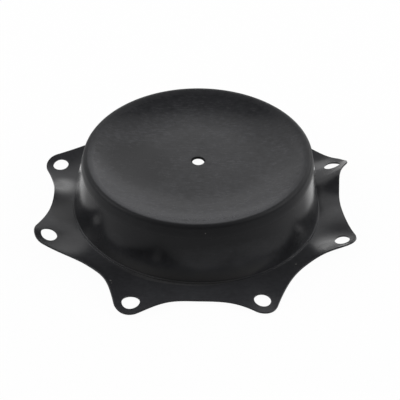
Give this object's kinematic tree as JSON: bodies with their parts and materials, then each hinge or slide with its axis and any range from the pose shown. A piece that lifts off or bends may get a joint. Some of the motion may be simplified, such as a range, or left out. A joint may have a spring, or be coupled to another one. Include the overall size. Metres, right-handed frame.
{
  "type": "diaphragm seal",
  "caption": "Moulded rubber top-hat diaphragm with a dished crown, a stem hole, a flared wall and a thin scalloped flange with bolt holes in its ears.",
  "frame": {"origin": "centre of the flange's underside, on the axis", "axes": "+Z along the axis, up through the crown; X and Y point at the middle of a scallop"},
  "size_m": [0.178, 0.178, 0.0363],
  "materials": {
    "moulded_rubber": "satin black moulded rubber with a fine matt grain"
  },
  "bodies": {
    "root": {"diaphragm": "moulded_rubber"}
  },
  "joints": []
}
